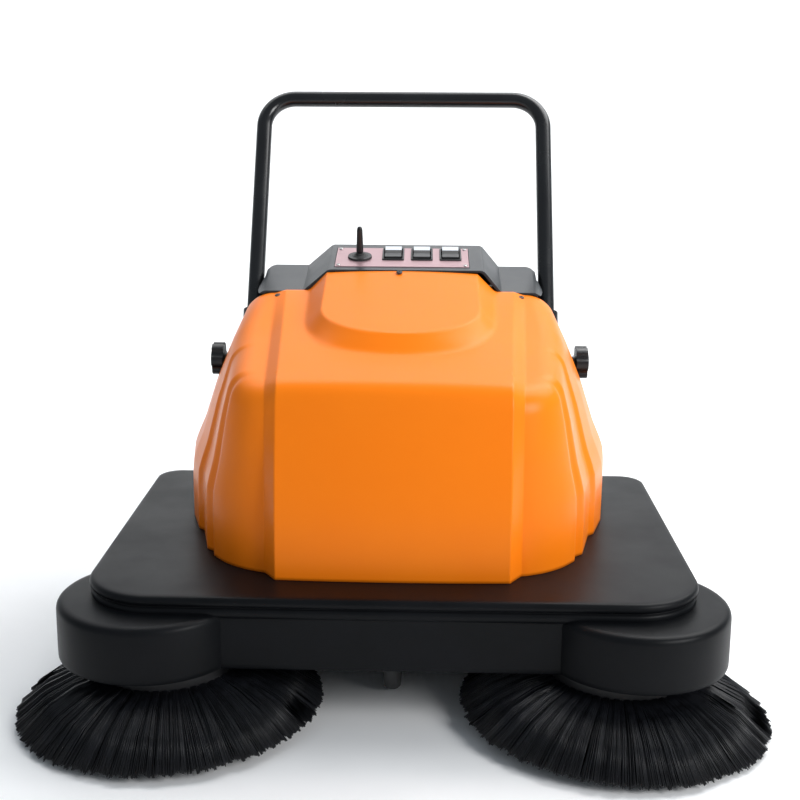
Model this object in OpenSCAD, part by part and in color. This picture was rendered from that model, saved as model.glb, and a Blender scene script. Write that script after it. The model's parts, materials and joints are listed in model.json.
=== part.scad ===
// Walk behind sweeper: two disc brushes at the front corners, a roller brush under the deck,
// a pull-out dust bin, a moulded hood over the battery and a telescopic push handle.
// Millimetres, +Z up, the machine's front faces -Y. The origin is on the ground under its middle.

/* [Deck] */
// Width of the deck
deck_w = 800; // [780:10:820]
// Height of the deck's top face
deck_top = 186; // [184:1:188]
// Height of the skirt's lower edge
skirt_z = 88; // [84:1:92]
// Front of the skirt, measured from the disc brush line
deck_front = -72; // [-76:1:-68]
// Back of the deck, measured from the disc brush line
deck_back = 486; // [484:1:490]

/* [Disc brushes] */
// Radius of the bristle tips
disc_r = 202; // [190:1:204]
// Distance of each disc brush from the middle
disc_x = 293.5; // [291:0.5:296]
// Outward lean of each disc brush
disc_tilt = 2; // [1:0.5:2.5]
// Radius of the round cover over each disc brush
cover_r = 121; // [116:1:124]

/* [Roller brush] */
// Radius of the roller brush
roller_r = 95; // [88:1:96]
// Half length of the roller's bristles
roller_half = 228; // [200:2:228]

/* [Wheels] */
// Radius of the rear wheels
wheel_r = 85; // [80:1:86]
// Width of the rear tyres
tyre_w = 40; // [34:1:44]
// Radius of the caster wheel
caster_r = 50; // [46:1:52]

/* [Hood] */
// Height of the hood's upper face at its front edge
hood_front_z = 441; // [436:1:448]
// Height of the hood's shoulders at the back
hood_back_z = 513; // [508:1:518]
// Wall thickness of the mouldings
wall = 3.5; // [3:0.5:4]

/* [Handle] */
// Distance of each leg from the middle
leg_x = 228; // [227:0.5:229]
// Radius of the handle tube
leg_r = 12.5; // [12:0.5:13]
// Backward lean of the legs from upright
lean = 30; // [28:1:31]
// Length of a leg above the clamp knob, to the crossbar's centre
leg_up = 452; // [430:2:470]
// Length of a leg below the clamp knob
leg_down = 165; // [150:5:165]

/* [Hidden] */

fit = 0.05;          // radial running clearance of every shaft in its hole
front_r = 95;        // plan radius of the deck's front corners
back_r = 38;         // plan radius of the deck's back corners
cover_x = 317;       // centre of each brush cover
cover_top = 163;
disc_z = 57;         // underside of the brush disc above its tip plane
rail_x = 242;        // inner face of the frame rails
rail_w = 16;
rail_top = 176;
plate_top = 182;
roller_y = 262;      // axis of the roller brush
roller_z = 98;
shaft_r = 10;
motor_z = 285;       // axis of the roller's motor
belt_x = -269;
wheel_y = 345;
wheel_x = 335;
caster_y = 45;       // swivel axis of the caster
caster_trail = 30;
hood_back = 345;     // parting face between the hood and the housing behind it
knob_y = 375;        // clamp point of the handle legs
knob_z = 400;
bend_r = 50;
body_back = 480;
console_back = 458;
console_slope = 12.5;
panel_z = 544;       // top of the console's raised middle at the hood's back edge
shoulder_z = 512;
handle_back = knob_y + leg_up * sin(lean) + leg_r;
hub_y = -(handle_back - disc_r) / 2;   // disc brush line in the part's frame

black = [0.06, 0.06, 0.07];
steel = [0.62, 0.63, 0.65];
orange = [0.96, 0.44, 0.05];
rubber = [0.09, 0.09, 0.09];

// ---- helpers ----

// Moves a piece from the disc brush line's frame into the part's frame.
module place() {
    translate([0, hub_y, 0]) children();
}

// Extrudes a (Y, Z) outline along X.
module along_x(x0, x1) {
    translate([x0, 0, 0]) rotate([90, 0, 90]) linear_extrude(x1 - x0) children();
}

// Extrudes an (X, Z) outline along Y.
module along_y(y0, y1) {
    translate([0, y1, 0]) rotate([90, 0, 0]) linear_extrude(y1 - y0) children();
}

// A round bar along X.
module bar_x(x0, x1, y, z, r) {
    translate([x0, y, z]) rotate([0, 90, 0]) cylinder(r = r, h = x1 - x0, $fn = 48);
}

// A block given by its two opposite corners.
module block(low, high) {
    translate(low) cube(high - low);
}

// The same piece on both sides of the machine.
module both_sides() {
    children();
    mirror([1, 0, 0]) children();
}

// A point or piece on the line of a handle leg, d along it from the clamp point.
module on_leg(side, d) {
    translate([side * leg_x, knob_y, knob_z]) rotate([-lean, 0, 0]) translate([0, 0, d]) children();
}

// Puts a piece drawn about Z on a disc brush's leaning axis.
module on_disc_axis(side) {
    translate([side * disc_x, 0, disc_r * sin(disc_tilt) + 1]) rotate([0, side * disc_tilt, 0]) children();
}

// ---- deck and covers ----

module deck_outline(inset) {
    half = deck_w / 2 - inset;
    y0 = deck_front + inset;
    y1 = deck_back - inset;
    fr = front_r - inset;
    br = back_r - inset;
    polygon([
        [-half + fr, y0], [half - fr, y0], [half, y0 + fr], [half, y1 - br],
        [half - br, y1], [-half + br, y1], [-half, y1 - br], [-half, y0 + fr]]);
    for (s = [-1, 1]) {
        translate([s * (half - fr), y0 + fr]) circle(r = fr, $fn = 96);
        translate([s * (half - br), y1 - br]) circle(r = br, $fn = 64);
    }
}

module deck_layer(z0, z1, inset) {
    translate([0, 0, z0]) linear_extrude(z1 - z0) deck_outline(inset);
}

deck_opening = [
    [150, 8], [168, 28], [184, 32], [200, 60], [236, 112], [262, 200], [285, 240], [285, 356]];

module deck_cover() {
    mirrored = [for (i = [len(deck_opening) - 1:-1:0]) [-deck_opening[i][0], deck_opening[i][1]]];
    color(black) place() difference() {
        union() {
            deck_layer(skirt_z, deck_top - 28, 6);
            deck_layer(deck_top - 28, deck_top - 16, 2);
            deck_layer(deck_top - 16, deck_top - 12, 5);
            deck_layer(deck_top - 12, deck_top - 3, 0);
            deck_layer(deck_top - 3, deck_top, 3);
        }
        deck_layer(skirt_z - 5, deck_top - 4, 10);
        translate([0, 0, deck_top - 10]) linear_extrude(20) polygon(concat(deck_opening, mirrored));
        block([-170, 372, deck_top - 10], [170, 436, deck_top + 5]);
        block([-rail_x + 1, deck_back - 60, skirt_z - 5], [rail_x - 1, deck_back + 5, 150]);
    }
}

module brush_cover(side) {
    color(black) place() difference() {
        translate([side * cover_x, 0, 0]) rotate_extrude($fn = 128) polygon([
            [0, cover_top - 4], [cover_r - 9, cover_top - 4], [cover_r - 4, cover_top - 9],
            [cover_r - 4, skirt_z], [cover_r, skirt_z], [cover_r, cover_top - 6],
            [cover_r - 2, cover_top - 2], [cover_r - 6, cover_top], [0, cover_top]]);
        deck_layer(skirt_z - 5, deck_top - 28, 6);
        deck_layer(deck_top - 28, deck_top, 2);
    }
}
module left_brush_cover() { brush_cover(-1); }
module right_brush_cover() { brush_cover(1); }

// ---- frame ----

module rail(side) {
    x0 = side > 0 ? rail_x : -rail_x - rail_w;
    color(steel) place() difference() {
        block([x0, -45, 144], [x0 + rail_w, 470, rail_top]);
        block([x0 + 2, -50, 146], [x0 + rail_w - 2, 480, rail_top - 2]);
    }
}
module left_rail() { rail(-1); }
module right_rail() { rail(1); }

module front_plate() {
    color(steel) place() difference() {
        block([-350, -45, rail_top], [350, 50, plate_top]);
        for (x = [-120:80:120]) translate([x, -28, rail_top - 1]) cylinder(r = 9, h = 8, $fn = 32);
    }
}

module cross_members() {
    color(steel) place() {
        difference() {
            block([-rail_x, 110, 150], [rail_x, 130, plate_top]);
            block([-rail_x - 1, 112, 152], [rail_x + 1, 128, plate_top - 2]);
        }
        difference() {
            block([-rail_x + 2, 442, 152], [rail_x - 2, 466, rail_top]);
            block([-rail_x, 444, 154], [rail_x, 464, rail_top - 2]);
        }
    }
}

// ---- roller brush chamber ----

module tunnel_shroud() {
    start = 58;
    end = 200;
    outer = roller_r + 11;
    inner = roller_r + 8;
    steps = 20;
    function arc(r, a0, a1) = [for (i = [0:steps]) let (a = a0 + (a1 - a0) * i / steps)
        [roller_y + r * cos(a), roller_z + r * sin(a)]];
    color(steel) place() along_x(-rail_x + 4, rail_x - 4)
        polygon(concat(arc(outer, start, end), arc(inner, end, start)));
}

module tunnel_plates() {
    color(steel) place() both_sides() difference() {
        along_x(rail_x - 4, rail_x) polygon([
            [roller_y - 102, 150], [roller_y - 102, 72], [roller_y - 60, 62], [roller_y + 98, 62],
            [roller_y + 98, 132], [roller_y + 80, rail_top], [roller_y - 80, rail_top]]);
        bar_x(rail_x - 10, rail_x + 10, roller_y, roller_z, 21);
    }
}

module brush_bearings() {
    color(steel) place() both_sides() difference() {
        bar_x(rail_x - 8, rail_x + 6, roller_y, roller_z, 21);
        bar_x(rail_x - 10, rail_x + 10, roller_y, roller_z, shaft_r + fit);
    }
}

module rubber_flaps() {
    color(rubber) place() {
        block([-140, roller_y - 104, 8], [140, roller_y - 101, 66]);
        both_sides() block([rail_x, roller_y - 50, 6], [rail_x + 3, roller_y + 92, 74]);
    }
}

module brush_core() {
    color(steel) place() {
        bar_x(-roller_half, roller_half, roller_y, roller_z, 44);
        bar_x(belt_x - 9, rail_x + 8, roller_y, roller_z, shaft_r);
    }
}

module brush_bristles() {
    color(black) place() difference() {
        bar_x(-roller_half, roller_half, roller_y, roller_z, roller_r);
        bar_x(-roller_half - 1, roller_half + 1, roller_y, roller_z, 44);
    }
}

// A grooved belt wheel that sits on a shaft.
module pulley(z, r, bore) {
    difference() {
        union() {
            bar_x(belt_x - 5, belt_x + 5, roller_y, z, r);
            bar_x(belt_x - 8, belt_x - 5, roller_y, z, r + 4);
            bar_x(belt_x + 5, belt_x + 8, roller_y, z, r + 4);
        }
        bar_x(belt_x - 10, belt_x + 10, roller_y, z, bore);
    }
}

module brush_pulley() {
    color(steel) place() pulley(roller_z, 36, shaft_r);
}

module motor_pulley() {
    color(steel) place() {
        pulley(motor_z, 18, 6);
        bar_x(belt_x - 8, -186, roller_y, motor_z, 6);
    }
}

module drive_belt() {
    color(rubber) place() along_x(belt_x - 4, belt_x + 4) difference() {
        hull() {
            translate([roller_y, roller_z]) circle(r = 39.5, $fn = 64);
            translate([roller_y, motor_z]) circle(r = 21.5, $fn = 64);
        }
        hull() {
            translate([roller_y, roller_z]) circle(r = 36.5, $fn = 64);
            translate([roller_y, motor_z]) circle(r = 18.5, $fn = 64);
        }
    }
}

module brush_motor() {
    color([0.2, 0.2, 0.22]) place() {
        difference() {
            union() {
                bar_x(-180, 10, roller_y, motor_z, 42);
                bar_x(-186, -180, roller_y, motor_z, 30);
            }
            bar_x(-190, -170, roller_y, motor_z, 8);
        }
        block([-160, roller_y - 30, 207], [-10, roller_y + 30, motor_z - 40.5]);
    }
}

// ---- hood ----

hood_outline = [
    [0, -10], [153, -6], [160, 2], [170, 20], [205, 25], [228, 44], [243, 80], [246, 95], [261, 115],
    [277, 180], [288, 195], [303, 252], [317, hood_back]];
hood_levels = [deck_top, 261, 316, 378, 422];

// Half width of the hood near its back at height z, and how far its front has leant back there.
function side_width(z) = lookup(z, [[186, 317], [252, 317], [275, 315], [291, 309], [316, 298],
    [378, 277], [438, 251], [490, 225], [515, 208]]);
function front_lean(z) = lookup(z, [[186, 0], [297, 5], [362, 11], [422, 30], [440, 42], [515, 62]]);
function roof_z(y) = hood_front_z + (y - 50) * (hood_back_z - hood_front_z) / (hood_back - 50);

// Moves an outline point to height z: the side walls lean in and the front leans back.
function at_level(p, z, inset) =
    let (k = (side_width(z) - 170) / (317 - 170), x = p[0] > 170 ? 170 + (p[0] - 170) * k : p[0])
    [max(x - inset * min(1, p[0] / 150), 0),
     p[1] + (front_lean(z) + inset * 0.9) * max(0, 1 - p[1] / hood_back), z];

function edge_point(p, drop, inset) =
    let (flat = at_level(p, 440, inset), z = roof_z(flat[1]) - drop) at_level(p, z, inset);

function mirror_x(points) = [for (i = [len(points) - 1:-1:1]) [-points[i][0], points[i][1], points[i][2]]];
function whole(half) = concat(mirror_x(half), half);

module hood_solid(inset, below, behind) {
    rim = 9;
    back_fix = [for (p = hood_outline) p[1] == hood_back ? [p[0], hood_back + behind] : p];
    rings = concat(
        [whole([for (p = back_fix) let (q = at_level(p, deck_top, inset)) [q[0], q[1], q[2] - below]])],
        [for (k = [1:len(hood_levels) - 1]) whole([for (p = back_fix) at_level(p, hood_levels[k], inset)])],
        [whole([for (p = back_fix) edge_point(p, rim + inset, inset)])],
        [whole([for (p = back_fix) edge_point(p, inset, inset + rim)])]);
    n = len(rings[0]);
    m = (n - 1) / 2;
    last = len(rings) - 1;
    points = [for (r = rings) each r];
    walls = [for (k = [0:last - 1]) for (i = [0:n - 2])
        [k * n + i, (k + 1) * n + i, (k + 1) * n + i + 1, k * n + i + 1]];
    back = [for (k = [0:last - 1]) [k * n, k * n + n - 1, (k + 1) * n + n - 1, (k + 1) * n]];
    floor_faces = [for (i = [0:m - 1]) [i, i + 1, n - 2 - i, n - 1 - i]];
    roof_faces = [for (i = [0:m - 1]) [last * n + n - 1 - i, last * n + n - 2 - i, last * n + i + 1,
        last * n + i]];
    tidy = [for (f = concat(walls, back, floor_faces, roof_faces))
        f[1] == f[2] ? [f[0], f[1], f[3]] : f];
    polyhedron(points, [for (f = tidy) each len(f) == 4 ? [[f[0], f[1], f[2]], [f[0], f[2], f[3]]] : [f]]);
}

// The raised D on the hood's roof: a front arc and straight sides, smaller at the top.
module roof_bulge(inset, behind) {
    module d_plate(half, front, z_front, z_back) {
        slope = atan((z_back - z_front) / (hood_back - front));
        translate([0, front, z_front]) rotate([slope, 0, 0]) translate([0, 0, -2]) linear_extrude(2)
            difference() {
                translate([0, half * 0.62]) scale([1, 0.62]) circle(r = half, $fn = 48);
                translate([-half, half * 0.62]) square([2 * half, half]);
            }
        along_y(hood_back - 2, hood_back + behind)
            polygon([[-half, z_back - 3], [half, z_back - 3], [half, z_back], [-half, z_back]]);
    }
    hull() {
        d_plate(148 - inset, 98 + inset, roof_z(98) - 3 - inset, hood_back_z - 2 - inset);
        d_plate(110 - inset, 150 + inset, roof_z(150) + 17 - inset, 541 - inset);
    }
}

module hood() {
    color(orange) place() difference() {
        union() {
            hood_solid(0, 0, 0);
            roof_bulge(0, 0);
        }
        hood_solid(wall, 6, 6);
        roof_bulge(wall + 1, 6);
    }
}

module screw(x, y, z) {
    translate([x, y, z]) {
        cylinder(r = 5, h = 2.4, $fn = 32);
        translate([0, 0, -7.5]) cylinder(r = 2, h = 7.6, $fn = 24);
    }
}

module hood_screws() {
    color(steel) place() {
        for (x = [-196, 196]) translate([0, 0, 0.3]) screw(x * 0.93, hood_back - 11, roof_z(hood_back - 11));
        translate([0, 0, 0.4]) screw(0, hood_back - 9, 539);
    }
}

// ---- housing and console behind the hood ----

module housing_outline(inset) {
    side = [[306, deck_top], [305, 261], [287, 316], [267, 378], [242, 438], [222, 484], [206, 506]];
    polygon(concat([for (p = side) [p[0] - inset, p[1]]], [for (i = [len(side) - 1:-1:0])
        [-side[i][0] + inset, side[i][1]]]));
}

module rear_housing() {
    color(black) place() difference() {
        along_y(hood_back + 1, body_back) housing_outline(0);
        difference() {
            along_y(hood_back, body_back - wall) housing_outline(wall);
            block([-310, hood_back - 1, 506 - wall], [310, body_back, 520]);
        }
        block([-310, hood_back, deck_top - 1], [310, body_back - wall, deck_top + 1]);
        for (s = [-1, 1]) {
            on_leg(s, -200) cylinder(r = 18.5, h = 420, $fn = 48);
            bar_x(s > 0 ? 180 : -320, s > 0 ? 320 : -180, knob_y, knob_z, 6);
        }
        translate([160, body_back - 10, 380]) rotate([-90, 0, 0]) cylinder(r = 16, h = 20, $fn = 48);
    }
}

module console_section(inset) {
    polygon([for (p = [
        [-218, 440], [218, 440], [218, 500], [212, shoulder_z - 4], [204, shoulder_z],
        [154, shoulder_z], [128, panel_z - 2], [123, panel_z], [-105, panel_z], [-110, panel_z - 2],
        [-146, shoulder_z], [-204, shoulder_z], [-212, shoulder_z - 4], [-218, 500]])
        [p[0] - inset * sign(p[0]), p[1] - (p[1] > 501 ? inset : 0)]]);
}

// The console's shape: its section run back up the slope, trimmed to its plan outline.
module console_solid(inset, bottom) {
    half = [[218, 346], [218, 396], [211, 408], [211, 446], [198, console_back], [0, console_back]];
    plan = [for (p = half) [max(0, p[0] - inset), p[1] - (p[1] > 400 ? inset : 0)]];
    intersection() {
        translate([0, 0, bottom]) linear_extrude(120)
            polygon(concat(plan, [for (i = [len(plan) - 2:-1:0]) [-plan[i][0], plan[i][1]]]));
        translate([0, 346, panel_z]) rotate([console_slope, 0, 0]) translate([0, 0, -panel_z])
            along_y(-60, 180) console_section(inset);
    }
}

// Places a piece on the console's sloping raised top, at (x, y) along it.
module on_panel(x, y) {
    translate([0, 346, panel_z]) rotate([console_slope, 0, 0]) translate([x, y, 0]) children();
}

switch_x = [-11, 33, 77];
switch_y = 66;
panel_at = 3;        // the panel's middle, beside the machine's
lever_at = [-62, 52];

module console() {
    color(black) place() difference() {
        console_solid(0, 506.3);
        console_solid(3, 500);
        on_panel(panel_at - 102, 12) translate([0, 0, -6]) cube([204, 84, 20]);
    }
    color(black) place() difference() {
        on_panel(panel_at - 104, 10) translate([0, 0, -5]) cube([208, 88, 3]);
        on_panel(panel_at - 94, 20) translate([0, 0, -6]) cube([188, 71, 8]);
    }
}

module control_panel() {
    color([0.8, 0.7, 0.72]) place() difference() {
        on_panel(panel_at - 101.5, 12.5) translate([0, 0, -2]) cube([203, 83, 3]);
        for (x = switch_x) on_panel(x - 14, switch_y - 23) translate([0, 0, -5]) cube([28, 46, 10]);
        on_panel(lever_at[0], lever_at[1]) translate([0, 0, -5]) cylinder(r = 15, h = 10, $fn = 48);
    }
}

module panel_screws() {
    color(steel) place() for (x = [-96, 96], y = [18, 90]) on_panel(panel_at + x, y) translate([0, 0, 1])
        cylinder(r = 3, h = 1.4, $fn = 32);
}

module lever_bezel() {
    color(black) place() difference() {
        union() {
            on_panel(lever_at[0], lever_at[1]) translate([0, 0, -4]) cylinder(r = 14.9, h = 5, $fn = 48);
            on_panel(lever_at[0], lever_at[1]) translate([0, 0, 1]) cylinder(r = 18, h = 3, $fn = 48);
        }
        on_panel(lever_at[0] - 4.5, lever_at[1] - 13) translate([0, 0, -5]) cube([9, 26, 12]);
    }
    color(black) place() on_panel(lever_at[0], lever_at[1]) difference() {
        for (x = [-12, 8.5]) translate([x, -5, -18]) cube([3.5, 10, 14]);
        translate([-20, 0, -12]) rotate([0, 90, 0]) cylinder(r = 4 + fit, h = 40, $fn = 48);
    }
}

module lift_lever() {
    color(black) place() on_panel(lever_at[0], lever_at[1]) {
        translate([0, 0, -10]) cylinder(r = 3.5, h = 21, $fn = 32);
        translate([0, 0, 11]) cylinder(r1 = 5.4, r2 = 4.4, h = 35, $fn = 48);
        translate([0, 0, 46]) sphere(r = 4.4, $fn = 32);
        translate([-12, 0, -12]) rotate([0, 90, 0]) cylinder(r = 4, h = 24, $fn = 48);
    }
}

// A rocker switch: a wedge-topped key that tips about X in its opening.
module rocker(x) {
    color([0.85, 0.86, 0.88]) place() on_panel(x, switch_y) {
        along_x(-12.6, 12.6) polygon([
            [-21, -4], [21, -4], [22, 3], [21.5, 7], [0, 3], [-21.5, 5.5], [-22, 3]]);
        translate([-13.8, 0, -2]) rotate([0, 90, 0]) cylinder(r = 1.8, h = 27.6, $fn = 32);
    }
}
module left_switch() { rocker(switch_x[0]); }
module middle_switch() { rocker(switch_x[1]); }
module right_switch() { rocker(switch_x[2]); }

module charge_socket() {
    color(black) place() difference() {
        union() {
            translate([160, body_back - 12, 380]) rotate([-90, 0, 0]) cylinder(r = 15.5, h = 14, $fn = 48);
            translate([160, body_back, 380]) rotate([-90, 0, 0]) cylinder(r = 20, h = 4, $fn = 48);
        }
        for (x = [154, 166]) translate([x, body_back - 6, 380]) rotate([-90, 0, 0])
            cylinder(r = 3, h = 12, $fn = 32);
    }
}

// ---- power ----

module battery_tray() {
    color(steel) place() {
        block([-168, 40, 198], [168, 206, 202]);
        both_sides() {
            block([162, 40, 202], [168, 206, 222]);
            block([140, 40, plate_top], [168, 50, 198]);
            block([140, 110, plate_top], [168, 130, 198]);
        }
    }
}

module battery() {
    color([0.15, 0.15, 0.17]) place() {
        block([-157, 44, 202], [157, 202, 388]);
        for (x = [-130, 130]) translate([x, 66, 388]) cylinder(r = 8, h = 14, $fn = 32);
    }
}

module battery_strap() {
    color(black) place() difference() {
        block([-160, 105, 222], [160, 135, 391]);
        block([-157, 100, 220], [157, 140, 388]);
    }
}

module side_motor(side) {
    color([0.2, 0.2, 0.22]) place() {
        on_disc_axis(side) {
            translate([0, 0, 96]) cylinder(r = 28, h = 66, $fn = 64);
            translate([0, 0, 88]) cylinder(r = 16, h = 8, $fn = 48);
            translate([0, 0, 64]) cylinder(r = 8, h = 24, $fn = 48);
        }
        translate([side * (disc_x + 5), 0, 166]) cylinder(r = 18, h = rail_top - 166, $fn = 48);
    }
}
module left_side_motor() { side_motor(-1); }
module right_side_motor() { side_motor(1); }

// ---- disc brushes ----

module brush_disc(side) {
    color([0.12, 0.12, 0.13]) place() on_disc_axis(side) difference() {
        union() {
            translate([0, 0, disc_z]) cylinder(r = 92, h = 18, $fn = 96);
            translate([0, 0, disc_z + 18]) cylinder(r = 24, h = 11, $fn = 48);
        }
        translate([0, 0, 63.5]) cylinder(r = 8 + fit, h = 40, $fn = 48);
    }
}
module left_brush_disc() { brush_disc(-1); }
module right_brush_disc() { brush_disc(1); }

module disc_bristles(side) {
    color(black) place() on_disc_axis(side) rotate_extrude($fn = 128) polygon([
        [56, disc_z], [92, disc_z], [140, 45], [178, 26], [disc_r, 6], [disc_r - 2, 0], [disc_r - 16, 0], [56, 44]]);
}
module left_bristles() { disc_bristles(-1); }
module right_bristles() { disc_bristles(1); }

// ---- wheels ----

module wheel_axles() {
    color(steel) place() both_sides() {
        difference() {
            block([rail_x + rail_w, wheel_y - 28, 62], [rail_x + rail_w + 6, wheel_y + 28, rail_top]);
            bar_x(rail_x, rail_x + 40, wheel_y, wheel_r, 8);
        }
        bar_x(rail_x + rail_w, wheel_x + tyre_w / 2 + 7, wheel_y, wheel_r, 8);
        bar_x(wheel_x + tyre_w / 2 + 1, wheel_x + tyre_w / 2 + 7, wheel_y, wheel_r, 14);
    }
}

module wheel_rim(side) {
    x = side * wheel_x;
    half = tyre_w / 2;
    color([0.75, 0.75, 0.76]) place() difference() {
        union() {
            bar_x(x - half + 3, x + half - 3, wheel_y, wheel_r, wheel_r - 22);
            bar_x(x - half, x + half, wheel_y, wheel_r, 22);
        }
        bar_x(x - half - 1, x - half + 12, wheel_y, wheel_r, 22 - fit);
        bar_x(x + half - 12, x + half + 1, wheel_y, wheel_r, 22 - fit);
        bar_x(x - half - 1, x + half + 1, wheel_y, wheel_r, 8 + fit);
        for (a = [0:60:300]) translate([x, wheel_y, wheel_r]) rotate([a, 0, 0])
            bar_x(-half - 1, half + 1, 0, 43, 10);
    }
}
module left_rim() { wheel_rim(-1); }
module right_rim() { wheel_rim(1); }

module tyre(side) {
    half = tyre_w / 2;
    color(rubber) place() translate([side * wheel_x, wheel_y, wheel_r]) rotate([0, 90, 0])
        rotate_extrude($fn = 128) polygon([
            [wheel_r - 22, -half + 3], [wheel_r - 14, -half], [wheel_r - 6, -half], [wheel_r - 2, -half + 3],
            [wheel_r, -half + 8], [wheel_r, half - 8], [wheel_r - 2, half - 3], [wheel_r - 6, half],
            [wheel_r - 14, half], [wheel_r - 22, half - 3]]);
}
module left_tyre() { tyre(-1); }
module right_tyre() { tyre(1); }

module caster_plate() {
    color(steel) place() difference() {
        block([-42, caster_y - 42, rail_top - 4], [42, caster_y + 42, rail_top]);
        translate([0, caster_y, rail_top - 6]) cylinder(r = 7 + fit, h = 8, $fn = 48);
        for (x = [-32, 32], y = [-32, 32]) translate([x, caster_y + y, rail_top - 6])
            cylinder(r = 3.5, h = 8, $fn = 32);
    }
}

module caster_fork() {
    wy = caster_y + caster_trail;
    color(steel) place() {
        translate([0, caster_y, 160]) cylinder(r = 28, h = rail_top - 164.5, $fn = 64);
        translate([0, caster_y, 165]) cylinder(r = 7, h = rail_top - 165.5, $fn = 48);
        block([-19, caster_y - 22, 155], [19, caster_y + 24, 160]);
        both_sides() difference() {
            along_x(15, 19) polygon([
                [caster_y - 22, 160], [caster_y + 24, 160], [wy + 14, caster_r + 6],
                [wy + 10, caster_r - 12], [wy - 10, caster_r - 12], [wy - 14, caster_r + 2]]);
            bar_x(10, 24, wy, caster_r, 5);
        }
    }
}

module caster_axle() {
    wy = caster_y + caster_trail;
    color(steel) place() {
        bar_x(-22, 22, wy, caster_r, 5);
        both_sides() bar_x(19, 24, wy, caster_r, 8);
    }
}

module caster_wheel() {
    wy = caster_y + caster_trail;
    color(rubber) place() translate([0, wy, caster_r]) rotate([0, 90, 0]) rotate_extrude($fn = 96)
        polygon([[5 + fit, -14], [12, -14], [14, -9], [caster_r - 14, -9], [caster_r - 10, -12],
            [caster_r - 5, -11], [caster_r - 1.5, -7], [caster_r, -3], [caster_r, 3], [caster_r - 1.5, 7],
            [caster_r - 5, 11], [caster_r - 10, 12], [caster_r - 14, 9], [14, 9], [12, 14], [5 + fit, 14]]);
}

// ---- handle ----

// Puts a piece drawn about the clamp points' middle on the plane of the leaning handle.
module on_handle() {
    translate([0, knob_y, knob_z]) rotate([-lean, 0, 0]) children();
}

module handle_legs() {
    color(black) place() for (s = [-1, 1]) on_leg(s, -leg_down)
        cylinder(r = leg_r, h = leg_down + leg_up - bend_r, $fn = 48);
}

module handle_bends() {
    color(black) place() on_handle() for (s = [-1, 1])
        translate([s * (leg_x - bend_r), 0, leg_up - bend_r]) rotate([90, 0, 0])
            rotate(s > 0 ? 0 : 90) rotate_extrude(angle = 90, $fn = 96)
                translate([bend_r, 0]) circle(r = leg_r, $fn = 48);
}

module handle_crossbar() {
    color(black) place() on_handle() bar_x(-leg_x + bend_r, leg_x - bend_r, 0, leg_up, leg_r);
}

module sleeve(side) {
    color([0.1, 0.1, 0.11]) place() difference() {
        on_leg(side, -leg_down - 5) cylinder(r = 18, h = leg_down + 85, $fn = 48);
        on_leg(side, -leg_down - 10) cylinder(r = leg_r + fit, h = leg_down + 100, $fn = 48);
        bar_x(side > 0 ? leg_x : -leg_x - 30, side > 0 ? leg_x + 30 : -leg_x, knob_y, knob_z, 4 + fit);
    }
}
module left_sleeve() { sleeve(-1); }
module right_sleeve() { sleeve(1); }

module sleeve_plates() {
    color(steel) place() both_sides() difference() {
        along_x(leg_x + 18, leg_x + 22) polygon([
            [262, rail_top], [352, rail_top], [391, 410], [350, 410], [262, 255]]);
        bar_x(leg_x, leg_x + 40, knob_y, knob_z, 6);
        bar_x(leg_x, leg_x + 40, roller_y, motor_z, 26);
    }
}

// A lobed hand knob with its threaded stud, which clamps one leg of the handle.
module knob(side) {
    inner = 266;
    color(black) place() translate([0, knob_y, knob_z]) mirror([side > 0 ? 0 : 1, 0, 0]) {
        bar_x(leg_x + leg_r + 1, inner + 4, 0, 0, 4);
        bar_x(inner, inner + 6, 0, 0, 9);
        difference() {
            bar_x(inner + 5, inner + 23, 0, 0, 25);
            for (a = [0:60:300]) rotate([a, 0, 0]) bar_x(inner, inner + 30, 0, 29, 8);
        }
        bar_x(inner + 23, inner + 25, 0, 0, 14);
    }
}
module left_knob() { knob(-1); }
module right_knob() { knob(1); }

// ---- dust collection ----

module dust_bin() {
    half = 230;
    color(black) place() difference() {
        union() {
            block([-half, 376, 34], [half, 490, 146]);
            block([-half - 9, 376, 140], [half + 9, 484, 143]);
            block([-half - 16, 488, 30], [half + 16, 494, 149]);
        }
        block([-half + 3, 379, 37], [half - 3, 486, 160]);
        block([-half + 3, 370, 66], [half - 3, 390, 160]);
    }
}

module bin_handle() {
    color(black) place() {
        for (x = [-66, 54]) block([x, 494, 92], [x + 12, 520, 108]);
        bar_x(-66, 66, 526, 100, 9);
    }
}

module bin_runners() {
    color(steel) place() both_sides() {
        block([rail_x - 2, 364, 132], [rail_x, 475, rail_top]);
        block([rail_x - 10, 364, 132], [rail_x - 2, 475, 139.5]);
    }
}

module panel_filter() {
    color([0.85, 0.82, 0.7]) place() difference() {
        block([-190, 362, deck_top], [190, 446, deck_top + 40]);
        for (i = [0:22]) block([-182 + i * 16, 370, deck_top - 1], [-174 + i * 16, 438, deck_top + 34]);
    }
}

module suction_fan() {
    color([0.2, 0.2, 0.22]) place() difference() {
        union() {
            bar_x(-40, 30, 410, 300, 62);
            bar_x(30, 90, 410, 300, 36);
            block([-34, 372, deck_top + 40], [24, 440, 270]);
        }
        bar_x(-45, -30, 410, 300, 26);
    }
}

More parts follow.
